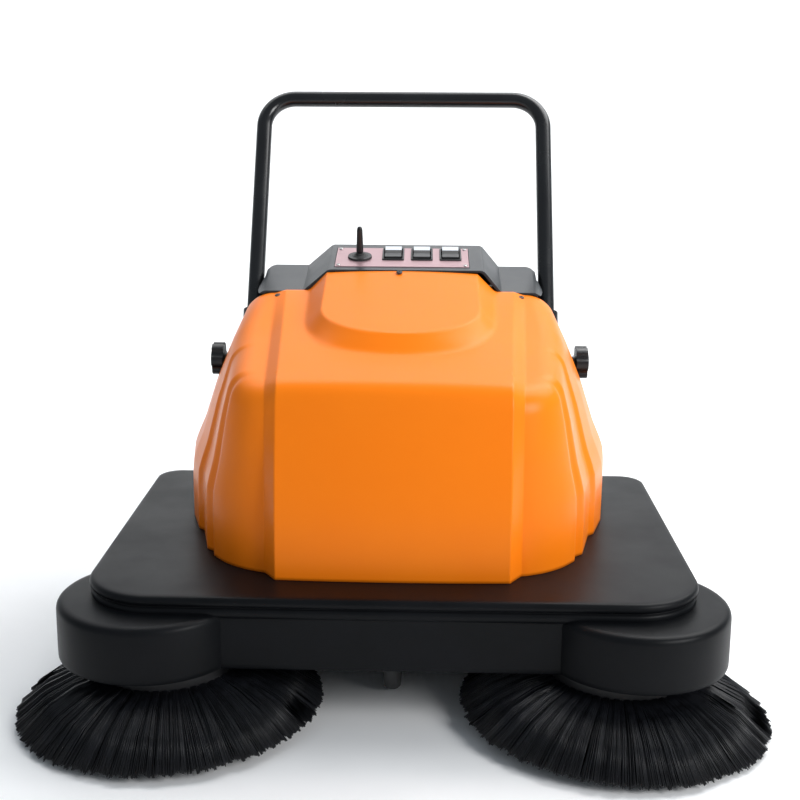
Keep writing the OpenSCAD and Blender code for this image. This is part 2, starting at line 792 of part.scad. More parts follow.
deck_cover();
left_brush_cover();
right_brush_cover();
left_rail();
right_rail();
front_plate();
cross_members();
tunnel_shroud();
tunnel_plates();
brush_bearings();
rubber_flaps();
hood();
hood_screws();
rear_housing();
console();
control_panel();
panel_screws();
lever_bezel();
charge_socket();
battery_tray();
battery();
battery_strap();
brush_motor();
drive_belt();
left_side_motor();
right_side_motor();
left_sleeve();
right_sleeve();
sleeve_plates();
caster_plate();
wheel_axles();
bin_runners();
panel_filter();
suction_fan();
brush_core();
brush_bristles();
brush_pulley();
motor_pulley();
left_brush_disc();
left_bristles();
right_brush_disc();
right_bristles();
left_rim();
left_tyre();
right_rim();
right_tyre();
caster_fork();
caster_axle();
caster_wheel();
handle_legs();
handle_bends();
handle_crossbar();
left_knob();
right_knob();
lift_lever();
left_switch();
middle_switch();
right_switch();
dust_bin();
bin_handle();
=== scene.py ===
"""Looks of the walk behind sweeper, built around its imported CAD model. Metres, +Z up, front at -Y."""
import json
import math
import random

import bmesh
import bpy
import numpy as np
from mathutils import Matrix, Vector

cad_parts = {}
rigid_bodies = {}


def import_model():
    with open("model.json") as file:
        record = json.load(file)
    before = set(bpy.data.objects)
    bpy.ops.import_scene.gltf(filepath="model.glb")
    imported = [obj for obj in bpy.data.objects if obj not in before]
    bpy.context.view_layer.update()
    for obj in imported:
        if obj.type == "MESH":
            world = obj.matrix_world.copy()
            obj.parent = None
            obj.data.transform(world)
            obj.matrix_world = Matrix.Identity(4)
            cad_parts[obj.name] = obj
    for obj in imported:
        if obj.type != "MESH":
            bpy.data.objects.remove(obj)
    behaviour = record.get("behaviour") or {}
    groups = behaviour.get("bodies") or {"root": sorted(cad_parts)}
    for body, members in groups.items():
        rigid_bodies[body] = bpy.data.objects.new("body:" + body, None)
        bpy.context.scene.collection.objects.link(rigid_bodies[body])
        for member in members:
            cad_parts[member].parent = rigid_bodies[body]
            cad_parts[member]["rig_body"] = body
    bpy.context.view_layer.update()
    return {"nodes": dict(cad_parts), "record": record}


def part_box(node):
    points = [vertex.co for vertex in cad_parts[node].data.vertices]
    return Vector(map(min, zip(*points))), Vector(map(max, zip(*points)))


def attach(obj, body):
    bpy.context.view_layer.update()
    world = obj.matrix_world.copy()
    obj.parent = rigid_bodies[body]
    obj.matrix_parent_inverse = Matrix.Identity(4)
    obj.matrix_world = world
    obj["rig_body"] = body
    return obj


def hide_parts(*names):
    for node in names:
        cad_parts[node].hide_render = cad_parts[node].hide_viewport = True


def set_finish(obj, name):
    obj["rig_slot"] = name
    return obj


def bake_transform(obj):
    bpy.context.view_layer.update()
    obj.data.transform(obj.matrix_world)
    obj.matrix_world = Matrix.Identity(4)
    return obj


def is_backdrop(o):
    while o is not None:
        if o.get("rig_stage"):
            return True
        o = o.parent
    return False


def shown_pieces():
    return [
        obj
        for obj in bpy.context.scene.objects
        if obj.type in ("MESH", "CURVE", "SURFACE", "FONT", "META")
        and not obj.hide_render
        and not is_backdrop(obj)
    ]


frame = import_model()
MM = 0.001

# ---- places ----
# Shapes are drawn in millimetres, with Y measured back from the line through both disc brushes.

brush_low, brush_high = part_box("left_bristles")
HUB_Y = ((brush_low + brush_high) / 2).y          # that line in the frame, in metres

WALL = 3.5                                        # thickness of the mouldings
DECK_Z = 186                                      # flat top of the deck
DISC_X, DISC_R, DISC_TILT = 293.5, 202, math.radians(2.0)
COVER_X = 317                                     # centre of a brush cover
ROLLER_Y, ROLLER_Z = 262, 98
WHEEL_X, WHEEL_Y, WHEEL_R = 335, 345, 85
LEG_X, LEG_R, LEG_LEAN = 228, 12.5, math.radians(30)
KNOB_Y, KNOB_Z = 375, 400                         # where the clamp knobs hold the legs
CROSSBAR, BEND_R = 452, 50                        # distance up the legs from the knobs, and the bends
CONSOLE_Y, PANEL_Z, SLOPE = 346, 544, math.radians(12.5)
LEVER_AT, SWITCH_Y = (-62, 52), 66                # on the console's sloping top
HOUSING_BACK, HOUSING_TOP, HOUSING_EDGE = 480, 506, 16
SLEEVE_HOLE_R = 18.6                              # holes in the housing for the handle's sleeves

# ---- camera ----
# It stands in front of the machine at chest height, a little to the right of its middle, and looks
# slightly down.


def make_camera():
    pitch, yaw, roll = math.radians(13.6), math.radians(-1.68), math.radians(0.3)
    data = bpy.data.cameras.new("camera")
    data.sensor_width = 36.0
    data.lens = 57.1
    data.shift_x = 0.0172
    cam = bpy.data.objects.new("camera", data)
    bpy.context.scene.collection.objects.link(cam)
    forward = Vector((math.sin(yaw) * math.cos(pitch), math.cos(yaw) * math.cos(pitch), -math.sin(pitch)))
    right = Vector((math.cos(yaw), -math.sin(yaw), 0.0))
    up = right.cross(forward)
    right_rolled = right * math.cos(roll) + up * math.sin(roll)
    up_rolled = -right * math.sin(roll) + up * math.cos(roll)
    turn = Matrix((right_rolled, up_rolled, -forward)).transposed()
    cam.matrix_world = Matrix.Translation((0.0366, HUB_Y - 1.5493, 0.802)) @ turn.to_4x4()
    bpy.context.scene.camera = cam


make_camera()

# ---- mesh helpers ----


def new_piece(name, verts, faces, body, slot, *nodes, smooth=True):
    """A mesh piece that rides on a body, stands for CAD nodes and takes a material slot."""
    mesh = bpy.data.meshes.new(name)
    mesh.from_pydata([tuple(v) for v in verts], [], [tuple(int(i) for i in f) for f in faces])
    mesh.validate()
    obj = bpy.data.objects.new(name, mesh)
    bpy.context.scene.collection.objects.link(obj)
    return finish_piece(obj, body, slot, *nodes, smooth=smooth)


def finish_piece(obj, body, slot, *nodes, smooth=True):
    obj.data.polygons.foreach_set("use_smooth", [smooth] * len(obj.data.polygons))
    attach(obj, body)
    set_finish(obj, slot)
    if nodes:
        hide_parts(*nodes)
    return obj


def apply_modifiers(obj):
    """Turns what the modifiers make into the piece's own mesh."""
    bpy.context.view_layer.update()
    graph = bpy.context.evaluated_depsgraph_get()
    mesh = bpy.data.meshes.new_from_object(obj.evaluated_get(graph))
    obj.modifiers.clear()
    obj.data = mesh


def merge(parts):
    """One list of points and one of faces out of several (points, faces) pairs."""
    verts, faces = [], []
    for part_verts, part_faces in parts:
        start = len(verts)
        verts.extend(tuple(v) for v in part_verts)
        faces.extend(tuple(i + start for i in f) for f in part_faces)
    return verts, faces


def moved(part, offset):
    """A (points, faces) pair shifted by an offset."""
    return [tuple(Vector(v) + Vector(offset)) for v in part[0]], part[1]


def turned(part, matrix):
    """A (points, faces) pair put through a matrix."""
    return [tuple(matrix @ Vector(v)) for v in part[0]], part[1]


def grid_faces(rows, cols, wrap=False):
    """Faces of a grid of points listed row by row. With wrap, each row is a closed ring."""
    span = cols if wrap else cols - 1
    return [(r * cols + c, r * cols + (c + 1) % cols, (r + 1) * cols + (c + 1) % cols, (r + 1) * cols + c)
            for r in range(rows - 1) for c in range(span)]


def arc(cx, cy, radius, start, end, steps):
    """Points along an arc, angles in degrees."""
    angles = [math.radians(start + (end - start) * i / steps) for i in range(steps + 1)]
    return [(cx + radius * math.cos(a), cy + radius * math.sin(a)) for a in angles]


def revolve(profile, steps):
    """Turns a closed list of (radius, height) points about Z. Its left side faces out."""
    verts = []
    for r, z in profile:
        verts.extend((r * math.cos(2 * math.pi * k / steps), r * math.sin(2 * math.pi * k / steps), z)
                     for k in range(steps))
    faces = grid_faces(len(profile), steps, wrap=True)
    last = (len(profile) - 1) * steps
    faces += [(last + k, last + (k + 1) % steps, (k + 1) % steps, k) for k in range(steps)]
    return verts, faces


def rounded(points, radius, steps=4):
    """The closed outline with each corner turned into an arc of about that radius."""
    out = []
    count = len(points)
    for i in range(count):
        before, here, after = (Vector(points[(i + d) % count]) for d in (-1, 0, 1))
        reach = min(radius, (before - here).length * 0.49, (after - here).length * 0.49)
        a, b = here + (before - here).normalized() * reach, here + (after - here).normalized() * reach
        for k in range(steps + 1):
            t = k / steps
            out.append(tuple(a * (1 - t) ** 2 + here * (2 * t * (1 - t)) + b * t * t))
    return out


X_AXIS = Matrix.Rotation(math.radians(90), 4, "Y")     # turns a piece drawn about Z onto the X axis


def sweep_tube(path, radius, steps):
    """A round tube with closed ends along a smooth path of points that starts along Y or Z."""
    pts = [Vector(p) for p in path]
    normal = Vector((1, 0, 0))
    verts = []
    for i, p in enumerate(pts):
        tangent = (pts[min(i + 1, len(pts) - 1)] - pts[max(i - 1, 0)]).normalized()
        normal = (normal - tangent * normal.dot(tangent)).normalized()
        side = tangent.cross(normal)
        for k in range(steps):
            a = 2 * math.pi * k / steps
            verts.append(tuple(p + (normal * math.cos(a) + side * math.sin(a)) * radius))
    faces = grid_faces(len(pts), steps, wrap=True)
    faces.append(tuple(reversed(range(steps))))
    faces.append(tuple(range((len(pts) - 1) * steps, len(pts) * steps)))
    return verts, faces


def rebuilt(mesh, change):
    """Runs a change on a mesh's bmesh, with its faces then turned to face out."""
    bm = bmesh.new()
    bm.from_mesh(mesh)
    change(bm)
    bmesh.ops.recalc_face_normals(bm, faces=bm.faces)
    bm.to_mesh(mesh)
    bm.free()


def thickened(obj):
    """Gives a single skin the mouldings' wall thickness, inwards."""
    wall = obj.modifiers.new("wall", "SOLIDIFY")
    wall.thickness = WALL * MM
    wall.offset = -1
    apply_modifiers(obj)
    obj.data.polygons.foreach_set("use_smooth", [True] * len(obj.data.polygons))


def cut_with(obj, place, make_solid):
    """Cuts a solid out of a piece. make_solid draws it in a bmesh with the given matrix."""
    bm = bmesh.new()
    make_solid(bm, place)
    mesh = bpy.data.meshes.new("cutter")
    bm.to_mesh(mesh)
    bm.free()
    cutter = bpy.data.objects.new("cutter", mesh)
    bpy.context.scene.collection.objects.link(cutter)
    cut = obj.modifiers.new("cut", "BOOLEAN")
    cut.object = cutter
    cut.operation = "DIFFERENCE"
    cut.solver = "EXACT"
    apply_modifiers(obj)
    bpy.data.objects.remove(cutter)


def keep_flat(obj, angle=32):
    """Smooth shading that keeps edges sharper than the angle."""
    obj.data.set_sharp_from_angle(angle=math.radians(angle))


def softened(node, width, slot, segments):
    """A copy of a CAD node with its flat faces joined up again and its edges rounded."""
    source = frame["nodes"][node]
    mesh = source.data.copy()
    mesh.materials.clear()

    def join_faces(bm):
        bmesh.ops.remove_doubles(bm, verts=bm.verts, dist=2e-5)
        bmesh.ops.dissolve_limit(bm, angle_limit=math.radians(1.0), verts=bm.verts, edges=bm.edges)

    rebuilt(mesh, join_faces)
    obj = bpy.data.objects.new(node + "_piece", mesh)
    bpy.context.scene.collection.objects.link(obj)
    bevel = obj.modifiers.new("round", "BEVEL")
    bevel.width = width
    bevel.segments = segments
    bevel.limit_method = "ANGLE"
    bevel.angle_limit = math.radians(28)
    bevel.use_clamp_overlap = True
    bevel.harden_normals = False
    weighted = obj.modifiers.new("shade", "WEIGHTED_NORMAL")
    weighted.keep_sharp = True
    obj.data.polygons.foreach_set("use_smooth", [True] * len(obj.data.polygons))
    apply_modifiers(obj)
    obj.parent = None
    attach(obj, source["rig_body"])
    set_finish(obj, slot)
    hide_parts(node)


# ---- materials ----
# Each finish is two tones mixed by broad noise, a roughness that wanders a little and a fine bump.


def add_node(tree, kind, inputs=(), **settings):
    node = tree.nodes.new(kind)
    for key, value in settings.items():
        setattr(node, key, value)
    for key, value in inputs:
        node.inputs[key].default_value = value
    return node


def finish_material(slot, tone, second, rough, spread=0.06, mottle=9.0, grain=900.0, bump=0.05,
                    depth=0.0002, metallic=0.0, coat=0.0, stretch=(1, 1, 1), specular=0.5):
    mat = bpy.data.materials.new(slot)
    mat.use_nodes = True
    tree = mat.node_tree
    shader = tree.nodes["Principled BSDF"]
    shader.inputs["Metallic"].default_value = metallic
    shader.inputs["Coat Weight"].default_value = coat
    shader.inputs["Coat Roughness"].default_value = 0.25
    shader.inputs["Specular IOR Level"].default_value = specular
    coord = add_node(tree, "ShaderNodeTexCoord")
    scaled = add_node(tree, "ShaderNodeMapping", [("Scale", stretch)])
    tree.links.new(coord.outputs["Object"], scaled.inputs["Vector"])
    broad = add_node(tree, "ShaderNodeTexNoise", [("Scale", mottle), ("Detail", 4.0), ("Roughness", 0.6)])
    fine = add_node(tree, "ShaderNodeTexNoise", [("Scale", grain), ("Detail", 2.0), ("Roughness", 0.5)])
    for texture in (broad, fine):
        tree.links.new(scaled.outputs["Vector"], texture.inputs["Vector"])
    tones = add_node(tree, "ShaderNodeValToRGB")
    for stop, place, colour in zip(tones.color_ramp.elements, (0.3, 0.72), (second, tone)):
        stop.position = place
        stop.color = (*colour, 1)
    tree.links.new(broad.outputs["Fac"], tones.inputs["Fac"])
    tree.links.new(tones.outputs["Color"], shader.inputs["Base Color"])
    wander = add_node(tree, "ShaderNodeMapRange", [("From Min", 0.3), ("From Max", 0.7),
                                                   ("To Min", rough - spread), ("To Max", rough + spread)])
    tree.links.new(broad.outputs["Fac"], wander.inputs["Value"])
    tree.links.new(wander.outputs["Result"], shader.inputs["Roughness"])
    relief = add_node(tree, "ShaderNodeBump", [("Strength", bump), ("Distance", depth)])
    tree.links.new(fine.outputs["Fac"], relief.inputs["Height"])
    tree.links.new(relief.outputs["Normal"], shader.inputs["Normal"])
    return mat


FINISHES = {
    "deck_plastic": dict(
        tone=(0.0055, 0.006, 0.0075), second=(0.003, 0.0035, 0.004), rough=0.4, grain=1500,
        bump=0.2, specular=0.11),
    "frame_steel": dict(
        tone=(0.045, 0.045, 0.048), second=(0.030, 0.030, 0.032), rough=0.5, grain=1800, bump=0.3),
    "bright_steel": dict(
        tone=(0.62, 0.62, 0.64), second=(0.48, 0.47, 0.45), rough=0.3, mottle=60, metallic=1.0,
        grain=700, bump=0.1),
    "flap_rubber": dict(
        tone=(0.028, 0.028, 0.028), second=(0.018, 0.018, 0.018), rough=0.72, grain=800, bump=0.3),
    "hood_plastic": dict(
        tone=(0.98, 0.225, 0.006), second=(0.95, 0.205, 0.005), rough=0.34, spread=0.03, mottle=4,
        grain=1300, bump=0.16, specular=0.16),
    "housing_plastic": dict(
        tone=(0.018, 0.022, 0.027), second=(0.012, 0.015, 0.018), rough=0.34, grain=1500,
        bump=0.25),
    "panel_sheet": dict(
        tone=(0.46, 0.30, 0.32), second=(0.40, 0.25, 0.27), rough=0.38, mottle=30, metallic=0.6,
        grain=420, bump=0.25, stretch=(0.04, 1, 1)),
    "black_plastic": dict(
        tone=(0.010, 0.010, 0.011), second=(0.007, 0.007, 0.008), rough=0.36, grain=1400,
        bump=0.15, specular=0.4),
    "battery_case": dict(
        tone=(0.055, 0.057, 0.065), second=(0.040, 0.041, 0.047), rough=0.5, grain=1200, bump=0.3),
    "strap": dict(
        tone=(0.035, 0.035, 0.035), second=(0.016, 0.016, 0.016), rough=0.85, mottle=700,
        grain=900, bump=0.8, depth=0.0006, stretch=(1, 0.5, 1)),
    "motor_case": dict(
        tone=(0.085, 0.086, 0.092), second=(0.060, 0.060, 0.064), rough=0.42, grain=1500,
        bump=0.25),
    "handle_paint": dict(
        tone=(0.007, 0.008, 0.009), second=(0.005, 0.005, 0.006), rough=0.25, grain=1700,
        bump=0.08, specular=0.45),
    "filter_paper": dict(
        tone=(0.72, 0.66, 0.50), second=(0.60, 0.53, 0.38), rough=0.9, mottle=50, grain=1000,
        bump=0.5),
    "bristle": dict(
        tone=(0.008, 0.009, 0.012), second=(0.003, 0.003, 0.004), rough=0.36, spread=0.06,
        mottle=90, grain=1500, bump=0.03, specular=0.34),
    "pulley_alloy": dict(
        tone=(0.68, 0.68, 0.70), second=(0.58, 0.58, 0.60), rough=0.32, mottle=80, metallic=1.0,
        grain=500, bump=0.15),
    "rim_plastic": dict(
        tone=(0.50, 0.50, 0.51), second=(0.40, 0.40, 0.40), rough=0.5, grain=1200, bump=0.25),
    "tyre": dict(
        tone=(0.030, 0.030, 0.030), second=(0.020, 0.019, 0.018), rough=0.75, mottle=30,
        grain=1100, bump=0.4),
    "caster_rubber": dict(
        tone=(0.045, 0.045, 0.048), second=(0.030, 0.029, 0.028), rough=0.62, mottle=40,
        grain=1100, bump=0.35),
    "knob_plastic": dict(
        tone=(0.009, 0.009, 0.010), second=(0.006, 0.006, 0.007), rough=0.3, grain=1300, bump=0.12),
    "switch_plastic": dict(
        tone=(0.70, 0.73, 0.78), second=(0.62, 0.65, 0.70), rough=0.22, mottle=70, grain=900,
        bump=0.05, coat=0.4),
    "bin_plastic": dict(
        tone=(0.040, 0.041, 0.045), second=(0.028, 0.029, 0.032), rough=0.5, grain=1300, bump=0.3)}
MATERIALS = {slot: finish_material(slot, **finish) for slot, finish in FINISHES.items()}


def paint(obj, slot):
    obj.data.materials.clear()
    obj.data.materials.append(MATERIALS[slot])


def paint_all():
    """Gives every CAD node and every piece the finish of its slot. A rocker key's front is black, up to
    a border that many metres behind its middle."""
    for row in frame["record"]["subparts"]:
        paint(frame["nodes"][row["node"]], row["material_slot"])
    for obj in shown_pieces():
        if "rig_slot" in obj:
            paint(obj, obj["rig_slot"])
        if "black_front" in obj:
            obj.data.materials.append(MATERIALS["black_plastic"])
            border = sum(v.co.y for v in obj.data.vertices) / len(obj.data.vertices) + obj["black_front"]
            for face in obj.data.polygons:
                face.material_index = int(face.center.y < border)


# ---- hood ----
# Its surface is where a field of distances is zero, found along rays from a core inside it. The field
# joins the walls and roof with soft edges.

HOOD_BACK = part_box("hood")[1].y / MM - HUB_Y / MM
ROOF_FRONT, ROOF_SLOPE = 441.0, 0.244
BULGE_TOP, BULGE_SLOPE = 541, 0.303
CORE_X, CORE_Y, POLE_Y = 178, 75, 130             # corner of the core, and where the roof's rows meet
CORE_DROP = 62                                    # how far the core stays below the roof


def ramp(v, low, high):
    """0 below low, 1 above high, and a smooth rise between them."""
    t = np.clip((v - low) / (high - low), 0.0, 1.0)
    return t * t * (3 - 2 * t)


def soft_max(a, b, k):
    """The larger of two distances, blended where they differ by less than k."""
    h = np.maximum(k - np.abs(a - b), 0.0) / k
    return np.maximum(a, b) + h * h * k * 0.25


def wall_width(y, z):
    """Half width of the hood: it steps out twice towards the back and leans in above its lower band."""
    slants = ((40, 25, 80), (16, 110, 182), (17, 194, 252), (14, 252, 345))
    steps = ((14, 92, 110), (10, 180, 194))
    lower = (206 + sum(rise * np.clip((y - low) / (high - low), 0, 1) for rise, low, high in slants)
             + sum(rise * ramp(y, low, high) for rise, low, high in steps))
    lean = np.interp(z, [186, 252, 275, 291, 316, 378, 438, 490, 515, 560],
                     [1.0, 1.0, 0.985, 0.945, 0.87, 0.73, 0.56, 0.39, 0.29, 0.1])
    return 170 + (lower - 170) * lean


def panel_share(x, y):
    """1 on the hood's middle panel, 0 beside it, with a steep flank between them."""
    edge = 153 + 18 * np.clip((y - 40) / 300, 0, 1)
    return 1 - np.clip((np.abs(x) - edge) / 16, 0, 1)


def roof_plane(y):
    return ROOF_FRONT + (y - 50) * ROOF_SLOPE


def roof_height(x, y):
    """The roof's slope, crowned and lower beside the middle panel, with a rounded bulge at its back."""
    back = ramp(y, 200, 345)
    base = roof_plane(y) - 5 * (1 - back) * (x / 200) ** 2 - (10 - 5 * back) * (1 - panel_share(x, y))
    beyond = (np.sqrt(((x - 4) / 113) ** 2 + (np.minimum(y - 232, 0) / 80) ** 2) - 1) * 100
    plane = BULGE_TOP + (y - 340) * BULGE_SLOPE
    steepness = 1.05 - 0.52 * ramp(232 - y, 10, 85)
    bulge = plane - steepness * np.maximum(beyond, 0) - 3 * (x / 112) ** 2
    return soft_max(base, np.minimum(bulge, plane), 4)


def hood_field(p):
    """Distance outside the hood's surface, less than 0 inside, for rows of points."""
    x, y, z = p[:, 0], p[:, 1], p[:, 2]
    side = (np.abs(x) - wall_width(y, z)) * 0.94
    share = panel_share(x, np.zeros_like(y))
    proud = 30 - 16 * ramp(z, 250, 430)
    bow = 4 * (x / 153) ** 2 * share + 6 * np.clip((np.abs(x) - 170) / 35, 0, 1.4)
    front = 20 + bow - proud * share + 0.055 * (z - DECK_Z) + 8 * ramp(z, 330, 440) - y
    walls = soft_max(front, side, 38)
    roof = (z - roof_height(x, y)) * 0.97
    return soft_max(walls, roof, 26)


def graded(*stretches):
    """Values from stretches of (start, end, count), joined."""
    out = []
    for start, end, count in stretches:
        out.extend(start + (end - start) * i / count for i in range(count))
    out.append(stretches[-1][1])
    return out


def hood_grid():
    """The outer surface as rows from the bottom edge to the roof's middle, left back to right back."""
    side_y = graded((HOOD_BACK, 196, 34), (196, 178, 12), (178, 112, 18), (112, 90, 12), (90, CORE_Y, 4))
    corner = np.radians(graded((0, 90, 22))[1:])
    front_x = graded((-CORE_X, -171, 4), (-171, -151, 16), (-151, 0, 38))[1:]
    left = ([(-CORE_X, y, -1, 0) for y in side_y]
            + [(-CORE_X, CORE_Y, -math.cos(a), -math.sin(a)) for a in corner]
            + [(x, CORE_Y, 0, -1) for x in front_x])
    cols = np.array(left + [(-x, y, -dx, dy) for x, y, dx, dy in reversed(left[:-1])], float)
    wall_rows = graded((0, 1, 46))
    turn_rows = graded((0, 90, 26))[1:]
    roof_rows = graded((0, 0.99, 74))[1:]
    top = roof_plane(cols[:, 1]) - CORE_DROP
    origins, directions = [], []
    for v in wall_rows:
        z = DECK_Z + v * (top - DECK_Z)
        origins.append(np.stack([cols[:, 0], cols[:, 1], z], 1))
        directions.append(np.stack([cols[:, 2], cols[:, 3], np.zeros(len(cols))], 1))
    for a in np.radians(turn_rows):
        c, s = math.cos(a), math.sin(a)
        origins.append(np.stack([cols[:, 0], cols[:, 1], top], 1))
        directions.append(np.stack([cols[:, 2] * c, cols[:, 3] * c, np.full(len(cols), s)], 1))
    spread = (HOOD_BACK - POLE_Y) / (HOOD_BACK - CORE_Y)
    spine_y = np.where(np.abs(cols[:, 0]) >= CORE_X, POLE_Y + (cols[:, 1] - CORE_Y) * spread, POLE_Y)
    for v in roof_rows:
        x = cols[:, 0] * (1 - v)
        y = cols[:, 1] + (spine_y - cols[:, 1]) * v
        origins.append(np.stack([x, y, roof_plane(y) - CORE_DROP], 1))
        directions.append(np.tile([0.0, 0.0, 1.0], (len(cols), 1)))
    o, d = np.concatenate(origins), np.concatenate(directions)
    near, far = np.zeros(len(o)), np.full(len(o), 260.0)
    for _ in range(34):
        mid = (near + far) / 2
        outside = hood_field(o + d * mid[:, None]) > 0
        far = np.where(outside, mid, far)
        near = np.where(outside, near, mid)
    points = o + d * ((near + far) / 2)[:, None]
    rows = len(wall_rows) + len(turn_rows) + len(roof_rows)
    return points.reshape(rows, len(cols), 3)


def to_frame(points):
    """Millimetres from the disc brush line to metres in the frame."""
    out = np.array(points, float).reshape(-1, 3) * MM
    out[:, 1] += HUB_Y
    return out


def make_hood():
    grid = hood_grid()
    rows, cols = grid.shape[:2]
    faces = grid_faces(rows, cols)
    last = (rows - 1) * cols
    faces += [(last + i, last + i + 1, last + cols - 2 - i, last + cols - 1 - i)
              for i in range(cols // 2 - 1)]
    hood = new_piece("hood_shell", to_frame(grid), faces, "chassis", "hood_plastic", "hood")
    rebuilt(hood.data, lambda bm: bmesh.ops.remove_doubles(bm, verts=bm.verts, dist=1e-5))
    if sum(p.normal.z * p.area for p in hood.data.polygons) < 0:
        hood.data.flip_normals()
    thickened(hood)


make_hood()

# ---- deck ----


def deck_plan(inset):
    """The deck's outline drawn in by inset, anticlockwise from above: four arcs, then the straight side
    after each. It has the same count of points at every inset."""
    half, front, back = 400 - inset, -72 + inset, 486 - inset
    front_r, back_r = 95 - inset, 38 - inset
    corners = [arc(side * (half - r), y, r, start, start + 90, 14)
               for side, r, y, start in (
                   (1, back_r, back - back_r, 0), (-1, back_r, back - back_r, 90),
                   (-1, front_r, front + front_r, 180), (1, front_r, front + front_r, 270))]
    out = []
    for corner, following in zip(corners, corners[1:] + corners[:1]):
        (ax, ay), (bx, by) = corner[-1], following[0]
        out += corner + [(ax + (bx - ax) * k / 6, ay + (by - ay) * k / 6) for k in range(1, 6)]
    return out


# (distance in from the widest outline, height), over the rim and its bead, down the wall and up inside
DECK_EDGE = [(14, DECK_Z), (8, 185.9), (4.6, 185.4), (2.4, 184.2), (0.9, 182.2), (0.2, 179.6), (0.2, 177),
             (1, 175), (2.6, 173.8), (4.6, 173.2), (5.6, 172.2), (5.2, 171), (3.8, 170), (2.6, 168.6),
             (2.0, 166), (2.0, 162.5), (2.8, 160), (4.4, 158.4), (6.2, 157.4), (6.8, 155), (6.6, 140),
             (6.0, 96), (5.9, 90.5), (6.6, 88.6), (8, 88), (9.4, 88.6), (10, 90.5), (10, 182)]


def make_deck():
    outline = [deck_plan(inset) for inset, _ in DECK_EDGE]
    count = len(outline[0])
    verts = [(x, y, z) for ring, (_, z) in zip(outline, DECK_EDGE) for x, y in ring]
    faces = [tuple(reversed(f)) for f in grid_faces(len(outline), count, wrap=True)]
    deck = new_piece("deck_shell", to_frame(verts), faces, "chassis", "deck_plastic", "deck_cover")
    under_hood = [(150, 8), (168, 28), (184, 32), (200, 60), (236, 112), (262, 200), (285, 240), (285, 356)]
    holes = [under_hood + [(-x, y) for x, y in reversed(under_hood)],
             [(-170, 372), (170, 372), (170, 436), (-170, 436)]]

    def fill_faces(bm):
        for ring, z in ((0, DECK_Z), (len(outline) - 1, DECK_EDGE[-1][1])):
            bm.verts.ensure_lookup_table()
            loops = [[bm.verts[ring * count + k] for k in range(count)]]
            for hole in holes:
                loops.append([bm.verts.new(Vector(p)) for p in to_frame([(x, y, z) for x, y in hole])])
            edges = []
            for loop in loops:
                for a, b in zip(loop, loop[1:] + loop[:1]):
                    edges.append(bm.edges.get((a, b)) or bm.edges.new((a, b)))
            bmesh.ops.triangle_fill(bm, use_beauty=True, use_dissolve=False, edges=edges)

    rebuilt(deck.data, fill_faces)
    deck.data.polygons.foreach_set("use_smooth", [True] * len(deck.data.polygons))
    cut_box(deck, (-241, 420, 70), (241, 500, 150))
    keep_flat(deck)


def cut_box(obj, low, high):
    """Cuts a box-shaped opening out of a piece."""
    a, b = (Vector(p) for p in to_frame([low, high]))
    place = Matrix.Translation((a + b) / 2) @ Matrix.Diagonal((*(b - a), 1))
    cut_with(obj, place, lambda bm, matrix: bmesh.ops.create_cube(bm, size=1.0, matrix=matrix))


def make_brush_cover(side):
    """The round cover of a disc brush: only the share of it that stands out of the deck."""
    profile = [(2, 163), (60, 163), (108, 163), (113, 162.6), (116.4, 161.4), (118.8, 159.4),
               (120.3, 156.6), (121, 153), (121.2, 130), (121.4, 96), (121.2, 90.5), (120.4, 88.6),
               (119, 88), (117.6, 88.6), (117, 91), (117, 154), (113, 159), (60, 159), (2, 159)]
    steps = 84
    verts = []
    for r, z in profile:
        for k in range(steps + 1):
            a = math.radians(212 + 200 * k / steps)
            verts.append((side * (COVER_X + r * math.cos(a)), r * math.sin(a), z))
    faces = grid_faces(len(profile), steps + 1)
    last = len(profile) - 1
    faces += [(last * (steps + 1) + k, last * (steps + 1) + k + 1, k + 1, k) for k in range(steps)]
    if side > 0:
        faces = [tuple(reversed(f)) for f in faces]
    word = "right" if side > 0 else "left"
    cover = new_piece(word + "_cover_shell", to_frame(verts), faces, "chassis", "deck_plastic",
                      word + "_brush_cover")
    keep_flat(cover, 40)


make_deck()
for side in (-1, 1):
    make_brush_cover(side)

# ---- brushes ----
# Every filament is a thin three-sided rod along a bent path, set in tufts.


def rods(paths, radius, taper=0.7):
    """Three-sided rods along paths that all have the same count of points, as one (verts, faces)."""
    paths = np.array(paths, float)
    count, points = paths.shape[:2]
    along = np.gradient(paths, axis=1)
    along /= np.linalg.norm(along, axis=2, keepdims=True)
    helper = np.where(np.abs(along[:, :, :1]) < 0.8, [[[1.0, 0, 0]]], [[[0, 1.0, 0]]])
    u = np.cross(along, helper)
    u /= np.linalg.norm(u, axis=2, keepdims=True)
    v = np.cross(along, u)
    size = radius * np.linspace(1, taper, points)[None, :, None]
    ring = [paths + size * (math.cos(a) * u + math.sin(a) * v) for a in (0, 2 * math.pi / 3, 4 * math.pi / 3)]
    verts = np.stack(ring, axis=2).reshape(-1, 3)
    base = (np.arange(count) * points * 3)[:, None]
    quad = []
    for i in range(points - 1):
        for k in range(3):
            quad.append([i * 3 + k, i * 3 + (k + 1) % 3, (i + 1) * 3 + (k + 1) % 3, (i + 1) * 3 + k])
    faces = (base[:, :, None] + np.array(quad)[None]).reshape(-1, 4).tolist()
    tip = (points - 1) * 3
    faces += (base + np.array([[tip, tip + 1, tip + 2]])).tolist()
    return verts, faces


